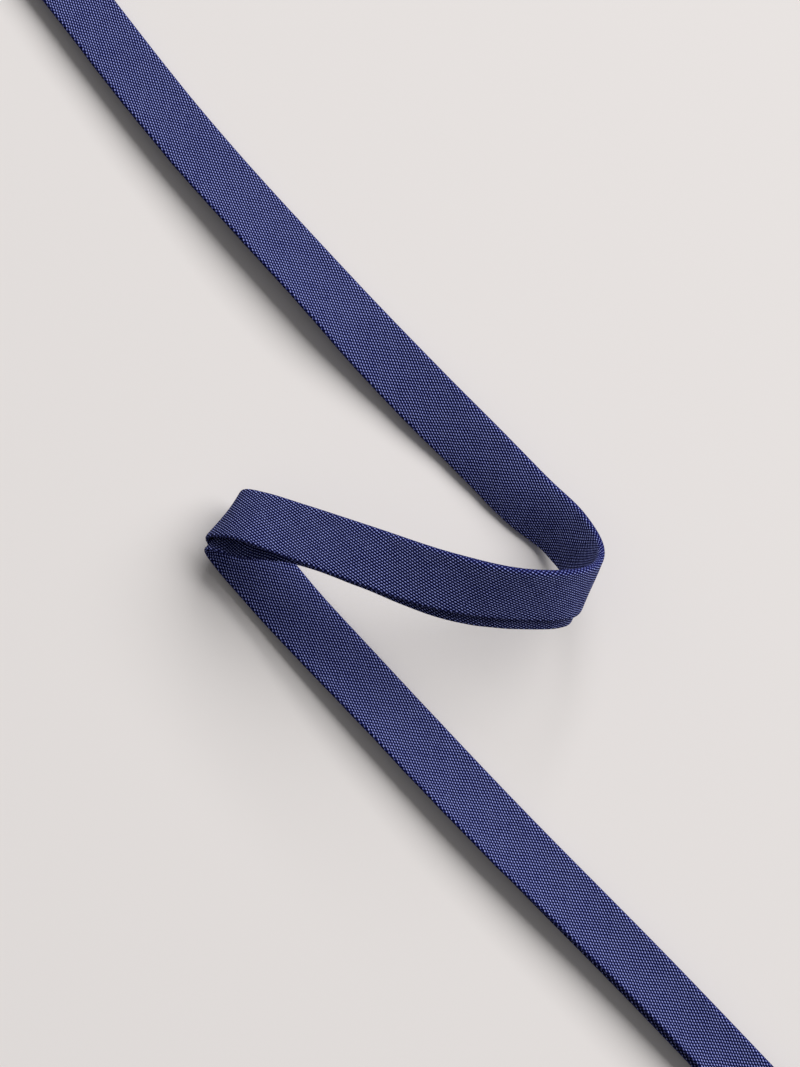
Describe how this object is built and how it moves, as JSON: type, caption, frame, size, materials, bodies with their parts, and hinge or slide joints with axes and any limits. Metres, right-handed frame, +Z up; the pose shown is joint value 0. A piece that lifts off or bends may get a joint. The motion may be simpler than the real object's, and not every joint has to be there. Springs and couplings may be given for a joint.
{
  "type": "length of double-fold bias tape",
  "caption": "Length of navy cotton double-fold bias tape lying in a loose Z: flat at both ends, with one raised curl and one low curl between.",
  "frame": {"origin": "middle of the part's footprint, on the surface that it lies on", "axes": "+Z up; +Y from the last cut end towards the first; +X to the right, seen from above with +Y away"},
  "size_m": [0.1128, 0.1742, 0.0217],
  "materials": {
    "tape_cloth": "matt fine cotton poplin, cut on the bias"
  },
  "bodies": {
    "root": {"tape": "tape_cloth"}
  },
  "joints": []
}
